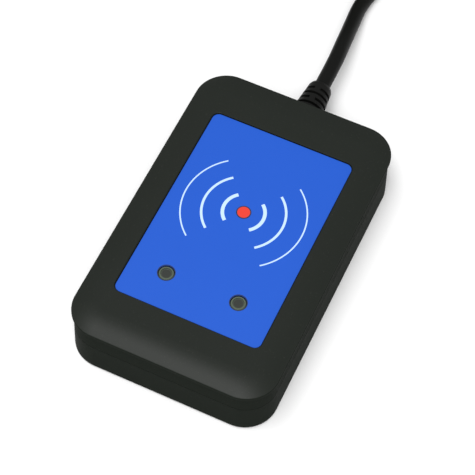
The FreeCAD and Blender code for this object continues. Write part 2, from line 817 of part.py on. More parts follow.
def leaded_chip(name, side, height, legs, x, y):
    """A square package with legs on its four sides."""
    solids = [block(f"{name}_case", side, side, height - 0.15, x, y, board_top + 0.15)]
    pitch = (side - 1.6) / (legs - 1)
    for leg in range(legs):
        along = pitch * leg - (side - 1.6) / 2
        for number, sign in enumerate((-1, 1)):
            reach = sign * (side / 2 + 0.45)
            leg_name = f"{name}_leg_{leg}_{number}"
            solids.append(block(f"{leg_name}_x", 1.1, 0.3, 0.25, x + reach, y + along, board_top))
            solids.append(block(f"{leg_name}_y", 0.3, 1.1, 0.25, x + along, y + reach, board_top))
    keep(fuse(name, solids), name)


def board_parts():
    """The chips, lights, buzzer and small parts on the board's top."""
    middle = coil_middle
    leaded_chip("controller_chip", 9.0, 1.5, 9, Size.of(-4.5), middle + 1)
    keep(block("rf_transceiver", 5.0, 5.0, 0.9, Size.of(7), middle - 4, board_top), "rf_transceiver")
    keep(block("crystal", 5.0, 3.2, 1.2, Size.of(7.5), middle + 4, board_top), "crystal")
    x = Size.of(-16)
    regulator = [
        block("regulator_case", 6.5, 3.5, 1.6, x, light_back - 3.9, board_top),
        block("regulator_tab", 3.0, 1.6, 0.3, x, light_back - 6.3, board_top),
    ]
    for number in (-1, 0, 1):
        leg_name = f"regulator_leg_{number + 1}"
        leg = block(leg_name, 0.7, 1.6, 0.3, x + 2.3 * number, light_back - 1.5, board_top)
        regulator.append(leg)
    keep(fuse("voltage_regulator", regulator), "voltage_regulator")
    buzzer = [(0, 0), (6, 0), (6, 4.6), (5.6, 5), (1, 5), (1, 4.2), (0, 4.2)]
    revolve("buzzer", buzzer, ZERO, light_back - 7.4, board_top)
    for side, x in light_places.items():
        light = [
            block(f"led_{side}_base", 3.2, 2.2, 0.6, x, light_back, board_top),
            rod(f"led_{side}_lens", 1.8, 1.1, x, light_back, board_top),
        ]
        keep(fuse(f"led_{side}", light), f"led_{side}")
    spots = [(-10, -9), (-6.5, -9), (-3, -9), (11, 0), (11, 3), (-12, 2), (-12, 5), (3, 9)]
    small_parts("board_capacitors", spots, (2.0, 1.25, 1.0))
    spots = [(1, -9), (3.2, -9), (3, 0.5), (3, 2.5), (-5, 9.5), (-1.5, 10), (6.5, 9.5)]
    small_parts("board_resistors", spots, (1.6, 0.8, 0.45))


def small_parts(name, spots, size):
    """Equal blocks on the board, at spots from the middle of the wound coil."""
    blocks = []
    for number, (x, y) in enumerate(spots):
        blocks.append(block(f"{name}_{number}", *size, Size.of(x), coil_middle + y, board_top))
    group(name, blocks)


def cable_connector():
    """The pin header near the back of the board, the crimp housing in it and the lead's own wires."""
    pins, pitch = 5, 2.0
    shroud_width = pitch * pins + 2
    # The header stands clear of the printed loops that pass under it.
    stand = board_top + s.loop_thickness + 0.05
    mouth_middle, crimp_middle = header_front + 4, header_front + 7.4
    header = block("header_case", shroud_width, 6.0, 4.8, ZERO, header_front + 3, stand)
    mouth = block("header_mouth", shroud_width - 1.2, 5.0, 3.4, ZERO, mouth_middle, stand + 0.8)
    contacts, ways = [], []
    for n in range(pins):
        x = Size.of(pitch * (n - 2))
        pin = block(f"header_pin_{n}", 0.5, 3.6, 0.5, x, header_front + 2.4, stand + 2.2)
        contacts.append(pin)
        ways.append(block(f"crimp_way_{n}", 0.8, 6.2, 0.8, x, crimp_middle, stand + 2.05))
    hollow = cut("header_hollow", header, mouth)
    keep(fuse("cable_header", [hollow, *contacts]), "cable_header")
    crimp = block("crimp_case", shroud_width - 1.5, 6.0, 3.1, ZERO, crimp_middle, stand + 0.95)
    keep(cut("crimp_housing", crimp, fuse("crimp_ways", ways)), "crimp_housing")

    # Each wire runs straight from its way in the crimp housing to the stripped end of the cable.
    wires = []
    start = header_front.number + 10.4
    end = flange_front.number - 2.1
    for n in range(pins):
        angle = math.pi + 2 * math.pi * (n + 0.5) / pins
        core = Vector(0.95 * math.cos(angle), end, s.cable_height.number + 0.95 * math.sin(angle))
        begin = Vector(pitch * (n - 2), start, stand.number + 2.45)
        wires.append(Part.makeCylinder(0.3, (core - begin).Length, begin, core - begin))
    shaped("cable_leads", Part.makeCompound(wires))


# The cable

# The middle of the coil of spare cable, and the way the cable runs into it: hand-set, and in line
# with the end of the strain relief. The route is straight out of the relief, down to the table and
# along it. Its points are across, back from the relief's end, and up from the cable as it lies.
HANK_CENTRE = Vector(-28.34, relief_reach.number + 70.14, 0.0)
LEAD_IN_ANGLE = -10.0
LEAD_IN = 20.0
RUN_IN = 9.04
STRAIGHT_OUT = 8.7
ROUTE = [
    (-1.0, 18.2, 4.45),
    (-2.1, 27.5, 1.75),
]
# The end of the cable, as angle, distance from the coil's middle and height over the plug's axis:
# it climbs out of the coil's top layer, lies on the coil and turns to run straight into the plug.
COIL_END = [
    (30.0, 17.0, -6.55),
    (60.0, 17.0, -5.75),
    (90.0, 17.1, -3.75),
    (120.0, 19.0, -2.05),
    (150.0, 22.6, -1.75),
    (184.0, 26.4, -1.45),
    (216.6, 26.5, -0.55),
    (240.4, 25.3, 0.0),
    (265.4, 23.0, 0.0),
]
PLUG_HEADING = 25.0
PLUG_RUN = 10.7
TIE_ANGLE = 14.0
PLUG_PLAY = 0.05
TIE_PLAY = 0.05


def strain_relief():
    """A moulded sleeve: flange, neck in the wall, and a tapered tail with staggered slots."""
    reach = relief_reach
    flange = flange_front
    wall_in = inner_length / 2 - s.seat_clearance
    wall_out = s.rim_length / 2 + 0.05
    bore = s.cable_diameter / 2 + 0.05
    tip = relief_tip / 2
    body = new_body("strain_relief")
    sketch = sketch_on(body, "strain_relief_profile", "YZ_Plane")
    # Corners are (along the cable, out from its axis). The cable's height comes from the placement.
    profile = [
        (flange, bore),
        (reach, bore),
        (reach, tip - 0.8),
        (reach - 0.35, tip - 0.3),
        (reach - 1.1, tip),
        (wall_out + 1.6, relief_root / 2),
        (wall_out, relief_root / 2),
        (wall_out, relief_neck / 2),
        (wall_in, relief_neck / 2),
        (wall_in, relief_flange / 2),
        (flange, relief_flange / 2),
    ]
    polygon(sketch, profile)
    turn = body.newObject("PartDesign::Revolution", "strain_relief_turn")
    turn.Profile = sketch
    turn.ReferenceAxis = (sketch, ["H_Axis"])
    turn.Angle = 360
    # Each pair of slots leaves two spines, which turn a quarter from one pair to the next.
    out, spine, core = relief_root / 2 + 1, s.relief_spine / 2, relief_core / 2
    for number in range(4):
        at = reach - s.relief_slot_start - number * s.relief_slot_pitch
        slots = sketch_on(body, f"relief_slots_{number}_outline", "XZ_Plane", -at)
        for sign in (-1, 1):
            near, far = sign * spine, sign * out
            corners = [(-out, near), (out, near), (out, far), (-out, far)]
            polygon(slots, corners if number % 2 else [(y, x) for x, y in corners])
        pocket(body, f"relief_slots_{number}", slots, s.relief_slot)
        sleeve = sketch_on(body, f"relief_core_{number}_outline", "XZ_Plane", -at)
        circle(sleeve, 2 * core)
        circle(sleeve, 2 * bore)
        pad(body, f"relief_core_{number}", sleeve, s.relief_slot, back=True)
    bind(body, "Placement.Base.z", s.cable_height)
    return body


def cable_stub():
    """The end of the cable's jacket, inside the strain relief and the cradle."""
    body = new_body("cable_jacket_end")
    sketch = sketch_on(body, "jacket_outline", "XZ_Plane", -relief_reach)
    circle(sketch, s.cable_diameter)
    pad(body, "jacket", sketch, relief_reach - flange_front + 2.0)
    bind(body, "Placement.Base.z", s.cable_height)
    return body


def usb_cable():
    """The free cable, from the strain relief to where its coil begins."""
    angle = math.radians(LEAD_IN_ANGLE)
    lying = s.cable_diameter.number / 2
    outer_turn = s.hank_middle.number + s.hank_width.number / 2 - lying - 0.3
    touch = HANK_CENTRE + Vector(math.cos(angle), math.sin(angle), 0) * outer_turn
    heading = Vector(-math.sin(angle), math.cos(angle), 0)
    begin = touch - heading * LEAD_IN + Vector(0, 0, lying)
    start = Vector(0, relief_reach.number, s.cable_height.number)
    points = [start, start + Vector(0, STRAIGHT_OUT, 0)]
    points += [Vector(x, start.y + y, lying + z) for x, y, z in ROUTE]
    points += [begin - heading * RUN_IN, begin]
    path, radii = bent_path(points)
    print("usb_cable radii", [round(r, 1) for r in radii], "length", round(path.Length, 1))
    shaped("usb_cable", tube(path, s.cable_diameter.number))
    return touch, heading, begin


def coil_end():
    """The points of the cable's last half turn, from the coil's top layer to the back of the plug."""
    points = []
    axis = s.hank_height.number + s.plug_grip_thickness.number / 2 + PLUG_PLAY
    for angle, radius, height in COIL_END:
        turned = math.radians(angle)
        out = Vector(math.cos(turned), math.sin(turned), 0)
        points.append(HANK_CENTRE + out * radius + Vector(0, 0, axis + height))
    turned = math.radians(PLUG_HEADING)
    points.append(points[-1] + Vector(math.cos(turned), math.sin(turned), 0) * PLUG_RUN)
    return points


def spare_coil(touch, heading, begin):
    """The outer shape of the wound spare cable: a ring, its lead-in and the rise to the plug."""
    inner = s.hank_middle - s.hank_width / 2
    outer = s.hank_middle + s.hank_width / 2
    top = s.hank_height
    ring = revolve(
        "coil_ring",
        [
            (inner, 1.5),
            (inner + 1.5, 0),
            (outer - 1.5, 0),
            (outer, 1.5),
            (outer, top - 1.5),
            (outer - 1.5, top),
            (inner + 1.5, top),
            (inner, top - 1.5),
        ],
        Size.of(HANK_CENTRE.x),
        Size.of(HANK_CENTRE.y),
        part=False,
    )
    doc.recompute()
    lead = Part.makeCylinder(s.cable_diameter.number / 2, LEAD_IN, begin, heading)
    path, radii = bent_path(coil_end())
    print("coil end radii", [round(r, 1) for r in radii], "length", round(path.Length, 1))
    shape = ring.Shape.fuse([lead, tube(path, s.cable_diameter.number)])
    shaped("usb_cable_coil", shape.cut(tie_shape(TIE_PLAY)).removeSplitter())


def tie_shape(play=0.0):
    """The flat tie round the coil's bundle, let into its surface, and that much larger all round."""
    wide, high = s.hank_width.number, s.hank_height.number
    along = s.tie_width.number + 2 * play
    left = s.hank_middle.number - wide / 2
    base = Vector(left - play, -along / 2, -play)
    band = Part.makeBox(wide + 2 * play, along, high + 2 * play, base)
    wall = s.tie_thickness.number + play
    base = Vector(left + wall, -along, wall)
    hole = Part.makeBox(wide - 2 * wall, 2 * along, high - 2 * wall, base)
    shape = band.cut(hole)
    shape.Placement = Placement(HANK_CENTRE, Rotation(Vector(0, 0, 1), TIE_ANGLE))
    return shape


def usb_plug():
    """The plug lies across the coil: a moulded grip with its own relief, and the metal shell."""
    half_grip = s.plug_grip_length / 2
    grip = new_body("plug_grip")
    outline = sketch_on(grip, "grip_outline", offset=-(s.plug_grip_thickness / 2))
    grip_middle = s.plug_relief_length + half_grip
    size = (s.plug_grip_width, s.plug_grip_length)
    rounded_rectangle(outline, *size, Size.of(2.2), y=grip_middle)
    pad(grip, "grip_block", outline, s.plug_grip_thickness)
    low = edges_at(grip, -s.plug_grip_thickness.number / 2)
    high = edges_at(grip, s.plug_grip_thickness.number / 2)
    dress(grip, "PartDesign::Fillet", "grip_rounds", grip.Tip, low + high, "Radius", Size.of(1.4))
    tail = sketch_on(grip, "grip_tail_profile", "YZ_Plane")
    tip = s.cable_diameter / 2 + s.plug_relief_wall
    root = s.plug_grip_thickness / 2 - 0.6
    ring_depth, pitch = 0.45, s.plug_relief_length / 4
    corners = [(0, 0), (0, tip)]
    for ring in range(3):
        at, high_at = pitch * (ring + 0.5), tip + (root - tip) * ((ring + 0.5) / 4)
        past, low_at = at + pitch * 0.4, high_at - ring_depth
        corners += [(at, high_at), (at, low_at), (past, low_at), (past, high_at + 0.1)]
    corners += [(s.plug_relief_length + 1, root), (s.plug_relief_length + 1, 0)]
    polygon(tail, corners)
    turn = grip.newObject("PartDesign::Revolution", "grip_tail")
    turn.Profile = tail
    turn.ReferenceAxis = (tail, ["H_Axis"])
    turn.Angle = 360
    for side, sign in (("over", 1), ("under", -1)):
        # Finger grooves across the grip, on both of its faces
        for number in range(4):
            face = sign * s.plug_grip_thickness / 2
            mark = sketch_on(grip, f"grip_{side}_{number}_outline", offset=face)
            y = s.plug_relief_length + 5 + number * 2.4
            rectangle(mark, s.plug_grip_width - 5, Size.of(1.0), y=y)
            pocket(grip, f"grip_{side}_{number}", mark, Size.of(0.35), up=sign < 0)
    front = s.plug_relief_length + s.plug_grip_length
    seat = sketch_on(grip, "shell_seat_outline", "XZ_Plane", -front)
    rounded_rectangle(seat, s.shell_width + 0.1, s.shell_thickness + 0.1, Size.of(0.7))
    pocket(grip, "shell_seat", seat, s.shell_buried + 0.1, up=True)

    shell = new_body("plug_shell")
    tip_y = front + s.shell_exposed
    tube_outline = sketch_on(shell, "shell_outline", "XZ_Plane", -tip_y)
    rounded_rectangle(tube_outline, s.shell_width, s.shell_thickness, Size.of(0.65))
    bore = (s.shell_width - 2 * s.shell_wall, s.shell_thickness - 2 * s.shell_wall)
    rounded_rectangle(tube_outline, *bore, Size.of(0.35))
    pad(shell, "shell_tube", tube_outline, s.shell_exposed + s.shell_buried)
    windows = sketch_on(shell, "shell_windows_outline", offset=s.shell_thickness / 2 + 1)
    for sign in (-1, 1):
        rectangle(windows, Size.of(2.3), Size.of(2.3), sign * s.shell_width * 0.21, tip_y - 5.6)
    pocket(shell, "shell_windows", windows, s.shell_thickness + 2)

    insert = new_body("plug_insert")
    room = s.shell_width - 2 * s.shell_wall - 0.1
    inner_half = s.shell_thickness / 2 - s.shell_wall - 0.05
    base = sketch_on(insert, "insert_outline", "XZ_Plane", -(tip_y - 0.9))
    rectangle(base, room, Size.of(1.8), ZERO, 0.9 - inner_half)
    pad(insert, "insert_tongue", base, s.shell_exposed - 0.9 + s.shell_buried)
    heel = sketch_on(insert, "insert_heel_outline", "XZ_Plane", -(front - 0.2))
    rectangle(heel, room, 2 * inner_half)
    pad(insert, "insert_heel", heel, s.shell_buried - 0.2)

    contacts = []
    for number, (x, length) in enumerate(((-3.5, 7.4), (-1.0, 6.4), (1.0, 6.4), (3.5, 7.4))):
        y = front + 0.2 + length / 2
        contacts.append(block(f"plug_contact_{number}", 1.0, length, 0.15, x, y, 1.8 - inner_half))
    together = group("plug_contacts", contacts)

    # The whole plug lies on the coil, its back at the end of the cable.
    doc.recompute()
    turn_to = Rotation(Vector(0, 0, 1), PLUG_HEADING - 90)
    for piece in (grip, shell, insert, together):
        piece.Placement = Placement(coil_end()[-1], turn_to)


upper_cover()
lower_case()
labels()
light_pipes()
fasteners()
feet()
main_board()
antennas()
board_parts()
cable_connector()
strain_relief()
cable_stub()
spare_coil(*usb_cable())
shaped("cable_tie", tie_shape())
usb_plug()
doc.recompute()

for thing in doc.Objects:
    if "Invalid" in thing.State or "Error" in thing.State:
        raise RuntimeError(f"{thing.Label} failed: {thing.State}")
os.makedirs("parts", exist_ok=True)
for name, thing in NODES.items():
    shape = thing.Shape
    if shape.isNull() or not shape.isValid() or not shape.Solids:
        raise RuntimeError(f"{name} has no valid solid")
    shape.exportStep(f"parts/{name}.step")
print(len(NODES), "sub-parts")
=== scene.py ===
"""Desktop RFID card reader: its finishes, the print on its label, its cable and the stage.

Laid out as an add-on with one operator for each group of pieces. Run as a script, it registers
itself, calls the operators in order and finishes the frame.
"""

import math

import bmesh
import bpy
from bpy.props import FloatProperty, FloatVectorProperty, IntProperty, PointerProperty
from mathutils import Matrix, Vector


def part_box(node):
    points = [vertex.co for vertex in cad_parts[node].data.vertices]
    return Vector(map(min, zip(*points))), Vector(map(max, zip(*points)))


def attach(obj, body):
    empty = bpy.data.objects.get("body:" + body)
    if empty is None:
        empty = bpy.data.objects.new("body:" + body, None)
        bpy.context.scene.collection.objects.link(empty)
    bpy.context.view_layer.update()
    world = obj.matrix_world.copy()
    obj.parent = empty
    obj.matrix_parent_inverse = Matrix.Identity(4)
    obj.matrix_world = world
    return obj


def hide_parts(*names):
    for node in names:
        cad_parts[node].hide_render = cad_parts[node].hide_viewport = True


bl_info = {
    "name": "Card reader",
    "version": (1, 0, 0),
    "blender": (4, 5, 0),
    "location": "View3D > Sidebar > Card reader",
    "description": "Finishes a desktop card reader and sets its stage",
    "category": "Object",
}

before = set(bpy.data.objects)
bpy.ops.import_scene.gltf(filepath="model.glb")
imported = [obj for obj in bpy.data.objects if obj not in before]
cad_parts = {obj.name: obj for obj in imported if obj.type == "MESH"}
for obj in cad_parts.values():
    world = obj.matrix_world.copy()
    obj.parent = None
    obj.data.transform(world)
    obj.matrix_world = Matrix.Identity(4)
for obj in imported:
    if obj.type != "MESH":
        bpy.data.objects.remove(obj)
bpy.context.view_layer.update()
MM = 0.001

# Where the cable runs, in millimetres: out of the relief, down to the table and into its coil
LEAD_ROUTE = [
    (0.0, 56.3, 8.5),
    (0.0, 65.0, 8.5),
    (-1.0, 74.5, 6.7),
    (-2.1, 83.8, 4.0),
    (-3.1, 92.5, 2.25),
    (-1.53, 101.4, 2.25),
]
HANK_CENTRE = Vector((-28.34, 126.44, 0.0))
HANK_START = -10.0
# Each turn of the coil, as its radius and height: in across the bottom, back across the middle,
# then in across the top
HANK_TURNS = [
    (30.9, 2.26),
    (26.3, 2.3),
    (21.7, 2.3),
    (17.0, 2.35),
    (17.0, 7.0),
    (21.7, 6.95),
    (26.3, 7.0),
    (30.9, 6.95),
    (30.8, 11.7),
    (26.3, 11.65),
    (21.7, 11.7),
    (17.0, 11.6),
]
# The last half turn climbs onto the coil and turns into the plug: angle, radius and height
HANK_END = [
    (30.0, 17.0, 11.6),
    (60.0, 17.0, 12.4),
    (90.0, 17.1, 14.4),
    (120.0, 19.0, 16.1),
    (150.0, 22.6, 16.4),
    (184.0, 26.4, 16.7),
    (216.6, 26.5, 17.6),
    (240.4, 25.3, 18.15),
    (265.4, 23.0, 18.15),
]
PLUG_HEADING = 25.0
PLUG_RUN = 10.7
# What goes with the cable
# The share of each turn over which the cable crosses to the next one
CROSSING = 0.3

# The painted shadow rings round the windows and the windows' own shaded part, as radii
SHADOW_RING_INNER = 2.15 * MM
SHADOW_RING_OUTER = 2.36 * MM
WINDOW_SHADING = 2.4 * MM
WAVE_STEPS = 40
DOT_STEPS = 48
SHADOW_RING_STEPS = 56

# The painted highlight on the housing, a coat on its top only, starts this far below the top and
# comes in over this height
HIGHLIGHT_DEPTH = 1.44 * MM
HIGHLIGHT_RISE = 0.08 * MM
# How much smoother than the surface the coat of the painted highlight is
HIGHLIGHT_SMOOTHER = 0.09


# Settings


class CardReaderArtwork(bpy.types.PropertyGroup):
    """The print on the front label."""

    mark_back: FloatProperty(
        name="Mark position",
        description="How far behind the middle the mark is",
        default=4.66 * MM,
        unit="LENGTH",
        subtype="DISTANCE",
    )
    dot_diameter: FloatProperty(
        name="Dot",
        description="Diameter of the red dot",
        default=3.32 * MM,
        unit="LENGTH",
        subtype="DISTANCE",
    )
    ring_width: FloatProperty(
        name="Dot outline",
        description="Width of the thin dark line round the dot",
        default=0.32 * MM,
        unit="LENGTH",
        subtype="DISTANCE",
    )
    wave_first: FloatProperty(
        name="First wave",
        description="Radius of the innermost wave",
        default=5.5 * MM,
        unit="LENGTH",
        subtype="DISTANCE",
    )
    wave_step: FloatProperty(
        name="Wave step",
        description="From one wave to the next",
        default=5.45 * MM,
        unit="LENGTH",
        subtype="DISTANCE",
    )
    wave_width: FloatProperty(
        name="Wave width",
        description="Line width of the innermost wave",
        default=0.94 * MM,
        unit="LENGTH",
        subtype="DISTANCE",
    )
    wave_thinning: FloatProperty(
        name="Wave thinning",
        description="How much thinner each next wave is",
        default=0.28 * MM,
        unit="LENGTH",
        subtype="DISTANCE",
    )
    wave_count: IntProperty(
        name="Waves",
        description="Waves on each side",
        default=3,
        min=1,
        max=5,
    )
    wave_spread: FloatProperty(
        name="Wave spread",
        description="Angle that each wave covers",
        default=math.radians(102),
        unit="ROTATION",
        subtype="ANGLE",
    )
    # The ink's thickness is also that of the painted shadow rings round the windows
    ink_and_shadow_thickness: FloatProperty(
        name="Ink",
        description="Thickness of the printed ink",
        default=0.03 * MM,
        unit="LENGTH",
        subtype="DISTANCE",
    )


class CardReaderColours(bpy.types.PropertyGroup):
    """The colours that a user would change."""

    housing: FloatVectorProperty(
        name="Housing",
        description="Moulded housing",
        default=(0.0125, 0.0152, 0.0122),
        size=3,
        subtype="COLOR",
    )
    label: FloatVectorProperty(
        name="Label",
        description="Front label",
        default=(0.0095, 0.088, 0.525),
        size=3,
        subtype="COLOR",
    )
    waves: FloatVectorProperty(
        name="Waves",
        description="Printed waves",
        default=(0.52, 0.70, 0.93),
        size=3,
        subtype="COLOR",
    )
    dot: FloatVectorProperty(
        name="Dot",
        description="Printed dot",
        default=(0.72, 0.036, 0.018),
        size=3,
        subtype="COLOR",
    )
    cable: FloatVectorProperty(
        name="Cable",
        description="Jacket of the cable",
        default=(0.0065, 0.0068, 0.0062),
        size=3,
        subtype="COLOR",
    )


class CardReaderCable(bpy.types.PropertyGroup):
    """The USB lead."""

    diameter: FloatProperty(
        name="Diameter",
        description="Diameter of the jacket",
        default=4.5 * MM,
        unit="LENGTH",
        subtype="DISTANCE",
    )
    length: FloatProperty(
        name="Length",
        description="Length of the lead",
        default=1.8,
        unit="LENGTH",
        subtype="DISTANCE",
    )
    points_per_turn: IntProperty(
        name="Points per turn",
        description="Control points in each turn of the coil",
        default=16,
        min=12,
        max=32,
    )


class CardReaderStage(bpy.types.PropertyGroup):
    """The light and the camera."""

    focal_length: FloatProperty(
        name="Focal length",
        description="Of the camera, in millimetres",
        default=130.18,
        unit="CAMERA",
        subtype="DISTANCE_CAMERA",
    )
    surround: FloatProperty(
        name="Surround",
        description="Strength of the white surround",
        default=0.5,
        min=0,
    )
    key_power: FloatProperty(
        name="Key light",
        description="Power of each of the two large lights",
        default=8.5,
        unit="POWER",
        subtype="POWER",
    )


# Finishes: node groups that several materials share


def node(tree, kind, **settings):
    """A new node of a kind, with attributes set by name."""
    made = tree.nodes.new(kind)
    for name, value in settings.items():
        setattr(made, name, value)
    return made


def set_inputs(made, **values):
    """Sets a node's inputs by name, with underscores for the spaces."""
    for name, value in values.items():
        made.inputs[name.replace("_", " ")].default_value = value


def new_group(name, inputs, outputs):
    """A node group with named float or vector sockets, and its input and output nodes."""
    tree = bpy.data.node_groups.new(name, "ShaderNodeTree")
    for label, kind, default in inputs:
        socket = tree.interface.new_socket(label, in_out="INPUT", socket_type=kind)
        if default is not None:
            socket.default_value = default
    for label, kind in outputs:
        tree.interface.new_socket(label, in_out="OUTPUT", socket_type=kind)
    return tree, node(tree, "NodeGroupInput"), node(tree, "NodeGroupOutput")


def maths(tree, operation, first, second=None):
    """A math node on sockets or numbers; gives its output."""
    made = node(tree, "ShaderNodeMath", operation=operation)
    for socket, value in zip(made.inputs, (first, second)):
        if value is None:
            continue
        if isinstance(value, (int, float)):
            socket.default_value = value
        else:
            tree.links.new(value, socket)
    return made.outputs[0]


def moulded_grain():
    """Spark-eroded mould texture: fine rounded pits with a little larger unevenness."""
    if "Moulded grain" in bpy.data.node_groups:
        return bpy.data.node_groups["Moulded grain"]
    tree, source, result = new_group(
        "Moulded grain",
        [("Vector", "NodeSocketVector", None), ("Grain size", "NodeSocketFloat", 0.25 * MM)],
        [("Height", "NodeSocketFloat"), ("Mottle", "NodeSocketFloat")],
    )
    scale = maths(tree, "DIVIDE", 1.0, source.outputs["Grain size"])
    pits = node(tree, "ShaderNodeTexVoronoi", feature="SMOOTH_F1")
    set_inputs(pits, Smoothness=0.6, Randomness=1.0)
    fine = node(tree, "ShaderNodeTexNoise")
    set_inputs(fine, Detail=3.0, Roughness=0.6)
    broad = node(tree, "ShaderNodeTexNoise")
    set_inputs(broad, Scale=90.0, Detail=3.0, Roughness=0.55)
    tree.links.new(scale, pits.inputs["Scale"])
    tree.links.new(maths(tree, "MULTIPLY", scale, 0.6), fine.inputs["Scale"])
    for texture in (pits, fine, broad):
        tree.links.new(source.outputs["Vector"], texture.inputs["Vector"])
    fine_part = maths(tree, "MULTIPLY", fine.outputs["Fac"], 0.7)
    both = maths(tree, "ADD", pits.outputs["Distance"], fine_part)
    tree.links.new(both, result.inputs["Height"])
    tree.links.new(broad.outputs["Fac"], result.inputs["Mottle"])
    return tree


def handled_surface():
    """Where hands and tables have polished a surface or left fine dust on it."""
    if "Handled surface" in bpy.data.node_groups:
        return bpy.data.node_groups["Handled surface"]
    tree, source, result = new_group(
        "Handled surface",
        [
            ("Vector", "NodeSocketVector", None),
            ("Base", "NodeSocketColor", (0.1, 0.1, 0.1, 1.0)),
            ("Roughness", "NodeSocketFloat", 0.5),
            ("Variation", "NodeSocketFloat", 0.1),
            ("Dust", "NodeSocketFloat", 0.0),
        ],
        [("Color", "NodeSocketColor"), ("Roughness", "NodeSocketFloat")],
    )
    patches = node(tree, "ShaderNodeTexNoise")
    set_inputs(patches, Scale=55.0, Detail=4.0, Roughness=0.6)
    specks = node(tree, "ShaderNodeTexNoise")
    set_inputs(specks, Scale=2600.0, Detail=1.0, Roughness=0.5)
    for texture in (patches, specks):
        tree.links.new(source.outputs["Vector"], texture.inputs["Vector"])
    swing = maths(tree, "SUBTRACT", patches.outputs["Fac"], 0.5)
    swing = maths(tree, "MULTIPLY", swing, source.outputs["Variation"])
    bright = node(tree, "ShaderNodeHueSaturation")
    value = maths(tree, "ADD", maths(tree, "MULTIPLY", swing, 2.0), 1.0)
    tree.links.new(value, bright.inputs["Value"])
    tree.links.new(source.outputs["Base"], bright.inputs["Color"])
    sharp = node(tree, "ShaderNodeMapRange", clamp=True)
    set_inputs(sharp, From_Min=0.66, From_Max=0.78, To_Min=0.0, To_Max=1.0)
    tree.links.new(specks.outputs["Fac"], sharp.inputs["Value"])
    dusty = node(tree, "ShaderNodeMix", data_type="RGBA")
    dust = maths(tree, "MULTIPLY", sharp.outputs["Result"], source.outputs["Dust"])
    tree.links.new(dust, dusty.inputs["Factor"])
    tree.links.new(bright.outputs["Color"], dusty.inputs[6])
    dusty.inputs[7].default_value = (0.35, 0.34, 0.32, 1.0)
    tree.links.new(dusty.outputs[2], result.inputs["Color"])
    rough = maths(tree, "ADD", source.outputs["Roughness"], swing)
    tree.links.new(rough, result.inputs["Roughness"])
    return tree


def drawn_lines():
    """Fine parallel marks of drawn or rolled metal, along the group's own X."""
    if "Drawn lines" in bpy.data.node_groups:
        return bpy.data.node_groups["Drawn lines"]
    tree, source, result = new_group(
        "Drawn lines",
        [("Vector", "NodeSocketVector", None), ("Spacing", "NodeSocketFloat", 0.1 * MM)],
        [("Height", "NodeSocketFloat"), ("Mottle", "NodeSocketFloat")],
    )
    stretch = node(tree, "ShaderNodeVectorMath", operation="MULTIPLY")
    stretch.inputs[1].default_value = (0.03, 1.0, 1.0)
    tree.links.new(source.outputs["Vector"], stretch.inputs[0])
    lines = node(tree, "ShaderNodeTexNoise")
    set_inputs(lines, Detail=4.0, Roughness=0.6)
    tree.links.new(maths(tree, "DIVIDE", 1.0, source.outputs["Spacing"]), lines.inputs["Scale"])
    tree.links.new(stretch.outputs[0], lines.inputs["Vector"])
    tree.links.new(lines.outputs["Fac"], result.inputs["Height"])
    tree.links.new(lines.outputs["Fac"], result.inputs["Mottle"])
    return tree


def painted_top_highlight():
    """A painted highlight: a coat on what stands above a height, so that the top catches a
    highlight that the sides below it don't.
    """
    if "Painted top highlight" in bpy.data.node_groups:
        return bpy.data.node_groups["Painted top highlight"]
    tree, source, result = new_group(
        "Painted top highlight",
        [
            ("Vector", "NodeSocketVector", None),
            ("From", "NodeSocketFloat", 0.0),
            ("Amount", "NodeSocketFloat", 0.0),
        ],
        [("Weight", "NodeSocketFloat")],
    )
    split = node(tree, "ShaderNodeSeparateXYZ")
    tree.links.new(source.outputs["Vector"], split.inputs[0])
    above = maths(tree, "SUBTRACT", split.outputs["Z"], source.outputs["From"])
    share = node(tree, "ShaderNodeClamp")
    tree.links.new(maths(tree, "DIVIDE", above, HIGHLIGHT_RISE), share.inputs["Value"])
    amount = maths(tree, "MULTIPLY", share.outputs["Result"], source.outputs["Amount"])
    tree.links.new(amount, result.inputs["Weight"])
    return tree


def place_group(tree, group, vector, **values):
    """Places a node group in a material, on a vector and with its own values."""
    made = node(tree, "ShaderNodeGroup", node_tree=group)
    tree.links.new(vector, made.inputs["Vector"])
    set_inputs(made, **values)
    return made


def finish(
    name,
    colour,
    roughness=0.5,
    metallic=0.0,
    grain=0.25,
    depth=0.01,
    variation=0.1,
    dust=0.0,
    coat=0.0,
    gloss=0.5,
    highlight_from=None,
    drawn=False,
):
    """A material with the shared surface effects. Grain and depth are in millimetres."""
    material = bpy.data.materials.new(name)
    material.use_nodes = True
    tree = material.node_tree
    shader = tree.nodes["Principled BSDF"]
    place = node(tree, "ShaderNodeTexCoord").outputs["Object"]
    surface = place_group(
        tree,
        handled_surface(),
        place,
        Base=(*colour, 1.0),
        Roughness=roughness,
        Variation=variation,
        Dust=dust,
    )
    if drawn:
        relief = place_group(tree, drawn_lines(), place, Spacing=grain * MM)
    else:
        relief = place_group(tree, moulded_grain(), place, Grain_size=grain * MM)
    bump = node(tree, "ShaderNodeBump")
    set_inputs(bump, Strength=1.0, Distance=depth * MM)
    tree.links.new(relief.outputs["Height"], bump.inputs["Height"])
    tree.links.new(bump.outputs["Normal"], shader.inputs["Normal"])
    tree.links.new(surface.outputs["Color"], shader.inputs["Base Color"])
    tree.links.new(surface.outputs["Roughness"], shader.inputs["Roughness"])
    shader.inputs["Metallic"].default_value = metallic
    if highlight_from is None:
        shader.inputs["Coat Weight"].default_value = coat
    else:
        # Painted highlight: the coat only on what stands above the given height
        sheen = place_group(tree, painted_top_highlight(), place, From=highlight_from, Amount=coat)
        tree.links.new(sheen.outputs["Weight"], shader.inputs["Coat Weight"])
        shader.inputs["Coat Roughness"].default_value = roughness - HIGHLIGHT_SMOOTHER
    shader.inputs["Specular IOR Level"].default_value = gloss
    return material


